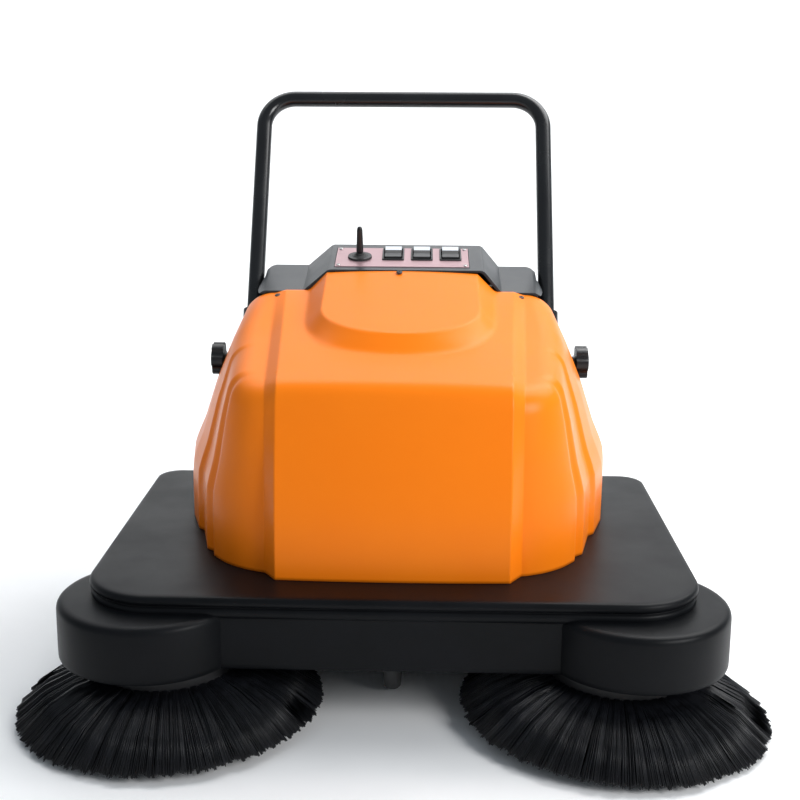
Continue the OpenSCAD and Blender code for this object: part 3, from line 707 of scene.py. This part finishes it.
def make_disc_bristles(side):
    """Rings of tufts that fan out and droop. Each tuft is highest along its middle."""
    rng = random.Random(7 + side)
    tip_plane = DISC_R * math.sin(DISC_TILT) + 1
    paths = []
    for ring, (tufts, count, share) in enumerate(((36, 14, 0.0), (40, 18, 0.3), (44, 24, 0.6),
                                                  (48, 34, 0.85), (48, 66, 1.0))):
        half_angle = math.pi / tufts
        for tuft in range(tufts):
            centre = 2 * half_angle * (tuft + 0.5 * (ring % 2)) + rng.gauss(0, 0.006)
            reach, droop, twist = rng.gauss(0, 1.5), rng.gauss(0, 1.6), rng.gauss(0, 0.012)
            for _ in range(count):
                across, depth = rng.uniform(-1, 1), rng.random()
                ridge = 1 - across * across
                r0 = 58 + 29 * share + 4 * depth
                a0 = centre + 3.6 * across / r0
                a1 = centre + twist + 0.86 * half_angle * across + rng.gauss(0, 0.004)
                r1 = min(184 + 15 * share + 2 * depth + reach + rng.gauss(0, 1.5), 203.5)
                z1 = max(0.8 + 1.2 * share + 5.5 * ridge * share - 2 * (1 - depth) + rng.gauss(0, 0.4), 0.6)
                zm = 22 + 17 * share + 10 * ridge - 3 * (1 - depth) + droop + rng.gauss(0, 0.4)
                path = []
                for t in (0.0, 0.3, 0.62, 1.0):
                    w0, w1, w2 = (1 - t) ** 2, 2 * t * (1 - t), t * t
                    r = w0 * r0 + w1 * (r0 + 0.56 * (r1 - r0)) + w2 * r1
                    a = a0 + (a1 - a0) * t
                    path.append((r * math.cos(a), r * math.sin(a), w0 * 60 + w1 * (zm + 5) + w2 * z1))
                paths.append(path)
    paths = np.array(paths)
    c, s = math.cos(DISC_TILT), math.sin(DISC_TILT) * side
    x, y, z = paths[..., 0].copy(), paths[..., 1], paths[..., 2].copy()
    paths[..., 0] = x * c + z * s + side * DISC_X
    paths[..., 2] = -x * s + z * c + tip_plane
    verts, faces = rods(paths, 1.2)
    word = "right" if side > 0 else "left"
    new_piece(word + "_filaments", to_frame(verts), faces, word + "_side_brush", "bristle",
              word + "_bristles")


def make_roller_bristles():
    """Ten rows of tufts round the roller, each row bent into a V that opens forwards."""
    rng = random.Random(3)
    half, core_r = 222, 43
    paths = []
    for row in range(10):
        for step in range(90):
            x = -half + 2 * half * step / 89
            angle = 2 * math.pi * row / 10 + 0.9 * abs(x) / half
            for _ in range(8):
                px, pa = x + rng.gauss(0, 1.8), angle + rng.gauss(0, 0.035)
                lean = rng.gauss(0, 0.03)
                tip = 94.2 - abs(rng.gauss(0, 0.8))
                path = []
                for t in (0.0, 0.5, 1.0):
                    r = core_r + (tip - core_r) * t
                    a = pa + lean * t * t
                    path.append((px + rng.gauss(0, 0.8) * t, ROLLER_Y + r * math.cos(a),
                                 ROLLER_Z + r * math.sin(a)))
                paths.append(path)
    verts, faces = rods(paths, 0.9)
    new_piece("roller_filaments", to_frame(verts), faces, "main_brush", "bristle", "brush_bristles",
              smooth=False)


for side in (-1, 1):
    make_disc_bristles(side)
make_roller_bristles()

# ---- handle ----


def on_leg_plane(x, d):
    """A point of the leaning handle's plane, d along it from the clamp knobs."""
    return (x, KNOB_Y + d * math.sin(LEG_LEAN), KNOB_Z + d * math.cos(LEG_LEAN))


def make_handle():
    """One bent tube: up a leg, round its bend, along half the crossbar, and the same mirrored."""
    flat = [(-LEG_X, d) for d in (-165, -163, -60, 60, 200, 320, 396)]
    flat += arc(-LEG_X + BEND_R, CROSSBAR - BEND_R, BEND_R, 180, 90, 15)
    flat += [(x, CROSSBAR) for x in (-160, -90)]
    half = [on_leg_plane(x, d) for x, d in flat]
    path = half + [on_leg_plane(0, CROSSBAR)] + [(-x, y, z) for x, y, z in reversed(half)]
    verts, faces = sweep_tube(to_frame(path), LEG_R * MM, 40)
    tube = new_piece("handle_tube", verts, faces, "handle", "handle_paint", "handle_legs",
                     "handle_bends", "handle_crossbar")
    keep_flat(tube, 50)


make_handle()

# ---- console, lever and switches ----


def on_panel(x, y, z):
    """A point of the console's sloping top: x across, y up the slope from the hood, z above it."""
    return (x, CONSOLE_Y + y * math.cos(SLOPE) - z * math.sin(SLOPE),
            PANEL_Z + y * math.sin(SLOPE) + z * math.cos(SLOPE))


def panel_piece(name, part, x, y, body, slot, *nodes, smooth=True):
    """A piece drawn about Z in millimetres, stood on the console's sloping top."""
    verts = [on_panel(x + v[0], y + v[1], v[2]) for v in part[0]]
    return new_piece(name, to_frame(verts), part[1], body, slot, *nodes, smooth=smooth)


def make_gaiter():
    """A low folded rubber boot around the lever's foot. Its rim stays on the panel."""
    profile = [(18.2, 0.9), (18.4, 2.4), (17.4, 3.5), (15.4, 3.7), (14.2, 3.3)]
    for k in range(3):
        r = 12.6 - 2.4 * k
        profile += [(r, 3.4 + 0.5 * k), (r - 0.9, 4.3 + 0.6 * k), (r - 1.7, 3.9 + 0.6 * k)]
    profile += [(6.0, 5.6), (6.0, 7.6), (5.6, 8.2), (3.4, 8.4), (3.4, 1.0)]
    boot = panel_piece("lever_gaiter", revolve(profile, 64), *LEVER_AT, "chassis", "flap_rubber")
    boot.parent = None
    del boot["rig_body"]
    low, high = (Vector(p) for p in to_frame([on_panel(*LEVER_AT, z) for z in (3.2, 7.0)]))
    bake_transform(boot)


def make_lever():
    """A tapered stick on a cross pin under the panel."""
    stick = revolve([(0.3, -9.2), (3.4, -9), (3.4, 6.5), (4.9, 9), (5.4, 11.5), (5.2, 18), (4.8, 32),
                     (4.4, 44), (3.9, 47.4), (2.6, 49.8), (0.3, 50.4)], 40)
    pin = revolve([(0.3, -12), (3.6, -12), (4, -11.6), (4, 11.6), (3.6, 12), (0.3, 12)], 32)
    pin = moved(turned(pin, X_AXIS), (0, 0, -12))
    lever = panel_piece("lever_stick", merge([stick, pin]), *LEVER_AT, "lift_lever", "black_plastic",
                        "lift_lever")
    keep_flat(lever, 50)


def make_switch(word, x):
    """A rocker key, pale at the back and black in front, in its raised frame."""
    side = [(-21, -4), (21, -4), (22, 2), (21.8, 6.2), (20.6, 7.2), (10, 5.0), (0, 3.2), (-10, 4.0),
            (-20.6, 5.4), (-21.8, 4.6), (-22, 2)]
    count = len(side)
    verts, faces = [], []
    for px, dip in ((-12.0, 0.5), (-12.6, 0.0), (12.6, 0.0), (12.0, 0.5)):
        verts += [(px, y - dip * (1 if y > 0 else -1) * (abs(y) > 19), z - dip * (z > 2)) for y, z in side]
    for k in range(3):
        here, after = k * count, (k + 1) * count
        faces += [(here + i, here + (i + 1) % count, after + (i + 1) % count, after + i)
                  for i in range(count)]
    faces += [tuple(reversed(range(count))), tuple(range(3 * count, 4 * count))]
    pin = revolve([(0.2, -13.8), (1.8, -13.8), (1.8, 13.8), (0.2, 13.8)], 24)
    pin = moved(turned(pin, X_AXIS), (0, 0, -2))
    key = panel_piece(word + "_rocker", merge([(verts, [tuple(reversed(f)) for f in faces]), pin]), x,
                      SWITCH_Y, word + "_switch", "switch_plastic", word + "_switch", smooth=False)
    key["black_front"] = 7 * MM
    rings = []
    for half, reach, z, corner in ((14.0, 23.0, 0.6, 1), (14.0, 23.0, 2.2, 1), (14.6, 23.6, 2.9, 1),
                                   (16.0, 25.0, 2.9, 2.5), (16.8, 25.8, 2.2, 2.5), (16.9, 25.9, 1.0, 2.5)):
        box = [(-half, -reach), (half, -reach), (half, reach), (-half, reach)]
        rings.append([(px, py, z) for px, py in rounded(box, corner, 4)])
    verts = [v for ring in rings for v in ring]
    panel_piece(word + "_switch_frame", (verts, grid_faces(len(rings), len(rings[0]), wrap=True)), x,
                SWITCH_Y, "chassis", "black_plastic")


def screw_head(radius, height):
    """A pan head with a six-sided recess."""
    rows = [(radius, 0.0), (radius, height * 0.45), (radius * 0.86, height * 0.85), (radius * 0.62, height)]
    steps = 24
    angles = [2 * math.pi * k / steps for k in range(steps)]
    verts = [(r * math.cos(a), r * math.sin(a), z) for r, z in rows for a in angles]
    twelfth = math.pi / 6
    flat = radius * 0.42 * math.cos(twelfth)
    for z in (height, height * 0.35):
        for a in angles:
            r = flat / math.cos((a + twelfth) % (2 * twelfth) - twelfth)
            verts.append((r * math.cos(a), r * math.sin(a), z))
    faces = grid_faces(6, steps, wrap=True)
    faces.append(tuple(range(5 * steps, 6 * steps)))
    faces.append(tuple(reversed(range(steps))))
    return verts, faces


def make_screws():
    """Four screws at the panel's corners, and three along the hood's back edge."""
    heads = []
    for x in (-93, 99):
        for y in (18, 90):
            head = screw_head(3.0, 1.5)
            heads.append(([on_panel(x + v[0], y + v[1], 1.0 + v[2]) for v in head[0]], head[1]))
    add_screws("panel_screw_heads", heads, "bright_steel", "panel_screws")
    heads = []
    side_z = roof_plane(334) - 5
    for x, y, z, slope in ((-182, 334, side_z, 0.24), (0, 336, 541.5, 0.3), (182, 334, side_z, 0.24)):
        lean = Matrix.Rotation(math.atan(slope), 4, "X")
        for part in (screw_head(4.6, 2.4), revolve([(0.2, -7.5), (2, -7.2), (2, 0.2), (0.2, 0.2)], 20)):
            heads.append(moved(turned(part, lean), (x, y, z)))
    add_screws("hood_screw_heads", heads, "frame_steel", "hood_screws")


def add_screws(name, heads, slot, node):
    verts, faces = merge(heads)
    keep_flat(new_piece(name, to_frame(verts), faces, "chassis", slot, node), 35)


make_gaiter()
make_lever()
for word, x in (("left", -11), ("middle", 33), ("right", 77)):
    make_switch(word, x)
make_screws()

# ---- rear housing ----


def cut_round(obj, start, along, radius):
    """Drills a round hole through a piece, from a point along a direction."""
    way = Vector(along) * MM
    turn = way.to_track_quat("Z", "Y").to_matrix().to_4x4()
    place = Matrix.Translation(Vector(to_frame([start])[0]) + way / 2) @ turn
    cut_with(obj, place, lambda bm, matrix: bmesh.ops.create_cone(
        bm, cap_ends=True, segments=48, radius1=radius * MM, radius2=radius * MM, depth=way.length,
        matrix=matrix))


def make_housing():
    """The moulded cover behind the hood, open to the front and below, with a soft edge round its back."""
    side = [(306, DECK_Z), (305, 261), (287, 316), (267, 378), (242, 438), (222, 484), (206, HOUSING_TOP)]
    outline = side[:1]
    for a, here, b in zip(side, side[1:], side[2:]):
        a, here, b = Vector(a), Vector(here), Vector(b)
        p, q = here + (a - here) * 0.35, here + (b - here) * 0.35
        outline += [tuple(p * (1 - t) ** 2 + here * (2 * t * (1 - t)) + q * t * t)
                    for t in (0, 0.25, 0.5, 0.75, 1)]
    outline += [(206, HOUSING_TOP), (190, HOUSING_TOP)]
    outline += [(0, HOUSING_TOP)] + [(-x, z) for x, z in reversed(outline)]
    edge = HOUSING_BACK - HOUSING_EDGE
    rows = [(0, CONSOLE_Y + 0.2), (0, 400), (0, edge)]
    rows += [(HOUSING_EDGE * (1 - math.cos(math.radians(a))), edge + HOUSING_EDGE * math.sin(math.radians(a)))
             for a in range(10, 91, 10)]
    rows += [(60, HOUSING_BACK), (61, HOUSING_BACK)]
    verts = [(math.copysign(max(abs(x) - shrink, 0), x), y, min(z, HOUSING_TOP - shrink) if z > 190 else z)
             for shrink, y in rows for x, z in outline]
    count = len(outline)
    faces = grid_faces(len(rows), count)
    last = (len(rows) - 1) * count
    faces += [(last + i, last + i + 1, last + count - 2 - i, last + count - 1 - i) for i in range(count // 2)]
    shell = new_piece("housing_shell", to_frame(verts), faces, "chassis", "housing_plastic", "rear_housing")
    rebuilt(shell.data, lambda bm: bmesh.ops.remove_doubles(bm, verts=bm.verts, dist=1e-5))
    if sum(p.normal.y * p.area for p in shell.data.polygons) < 0:
        shell.data.flip_normals()
    thickened(shell)
    for x in (-LEG_X, LEG_X):
        way = (0, 430 * math.sin(LEG_LEAN), 430 * math.cos(LEG_LEAN))
        cut_round(shell, on_leg_plane(x, -210), way, SLEEVE_HOLE_R)
        cut_round(shell, (x - 60, KNOB_Y, KNOB_Z), (120, 0, 0), 6)
    cut_round(shell, (160, HOUSING_BACK - 10, 380), (0, 20, 0), 15.8)
    shell.data.polygons.foreach_set("use_smooth", [True] * len(shell.data.polygons))
    keep_flat(shell, 38)


make_housing()

# ---- wheels and the rest ----


def make_tyre(side):
    """A tyre with rounded shoulders and five ribs round its tread."""
    half = 20
    wall = [(63, 3), (66, 0.6), (71, 0), (79, 0.3), (82.4, 1.8), (84.2, 4.6)]
    profile = [(r, -half + z) for r, z in wall]
    for k in range(5):
        x = -12.4 + 6.2 * k
        profile += [(WHEEL_R, x - 2.1), (WHEEL_R, x + 2.1)]
        if k < 4:
            profile += [(WHEEL_R - 2, x + 2.5), (WHEEL_R - 2, x + 3.7)]
    profile += [(r, half - z) for r, z in reversed(wall)]
    verts, faces = moved(turned(revolve(profile, 128), X_AXIS), (side * WHEEL_X, WHEEL_Y, WHEEL_R))
    word = "right" if side > 0 else "left"
    tyre = new_piece(word + "_tyre_ribbed", to_frame(verts), faces, word + "_wheel", "tyre", word + "_tyre")
    keep_flat(tyre, 35)


for side in (-1, 1):
    make_tyre(side)

# (node, width of its rounded edges, how many steps round them)
SOFT = [
    ("console", 2.2, 3), ("control_panel", 0.35, 1), ("left_sleeve", 0.8, 2),
    ("right_sleeve", 0.8, 2), ("left_knob", 1.6, 3), ("right_knob", 1.6, 3), ("left_rim", 1.0, 2),
    ("right_rim", 1.0, 2), ("dust_bin", 1.6, 3), ("bin_handle", 2.0, 3), ("caster_fork", 0.8, 2),
    ("caster_plate", 0.7, 2), ("caster_axle", 0.7, 2), ("charge_socket", 0.9, 2),
    ("battery", 3.0, 3), ("battery_tray", 0.8, 2), ("left_side_motor", 1.2, 2),
    ("right_side_motor", 1.2, 2), ("brush_motor", 1.6, 2), ("left_brush_disc", 1.4, 2),
    ("right_brush_disc", 1.4, 2), ("left_rail", 0.6, 2), ("right_rail", 0.6, 2),
    ("front_plate", 1.0, 2), ("sleeve_plates", 0.8, 2), ("wheel_axles", 1.0, 2),
    ("tunnel_plates", 0.6, 2), ("suction_fan", 1.5, 2)]
SLOT_OF = {row["node"]: row["material_slot"] for row in frame["record"]["subparts"]}
for node, width, segments in SOFT:
    softened(node, width * MM, SLOT_OF[node], segments)

# ---- floor and light ----


def make_stage():
    """A pale floor that curves up into a back wall, and soft lights. Metres."""
    sweep = [(-5.0, 0.0)] + arc(2.6, 1.4, 1.4, -90, 0, 15) + [(4.0, 6.0)]
    verts = [(x, y, z - 0.0005) for y, z in sweep for x in (-9.0, 9.0)]
    mesh = bpy.data.meshes.new("floor")
    mesh.from_pydata(verts, [], grid_faces(len(sweep), 2))
    mesh.polygons.foreach_set("use_smooth", [True] * len(mesh.polygons))
    floor = bpy.data.objects.new("floor", mesh)
    bpy.context.scene.collection.objects.link(floor)
    floor.data.materials.append(finish_material("floor_paint", (0.93, 0.93, 0.93), (0.91, 0.91, 0.91), 0.6,
                                                grain=60, bump=0.02))
    floor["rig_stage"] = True
    world = bpy.data.worlds.new("studio")
    world.use_nodes = True
    world.node_tree.nodes["Background"].inputs["Color"].default_value = (0.82, 0.91, 1, 1)
    world.node_tree.nodes["Background"].inputs["Strength"].default_value = 0.38
    bpy.context.scene.world = world
    bpy.context.scene.view_settings.view_transform = "Standard"
    for name, place, aim, size, power in (
            ("key", (2.3, -1.9, 1.7), (0, 0, 0.3), 1.3, 67),
            ("fill", (-2.4, -2.2, 1.0), (0, 0, 0.3), 1.8, 1),
            ("top", (1.4, 0.8, 2.4), (0, 0.1, 0.3), 1.9, 54),
            ("wall", (0, 2.2, 3.4), (0, 4.0, 1.0), 4.0, 120)):
        data = bpy.data.lights.new(name, "AREA")
        data.size = size
        data.energy = power
        light = bpy.data.objects.new(name, data)
        light.location = place
        light.rotation_euler = (Vector(aim) - Vector(place)).to_track_quat("-Z", "Y").to_euler()
        bpy.context.scene.collection.objects.link(light)


make_stage()
paint_all()
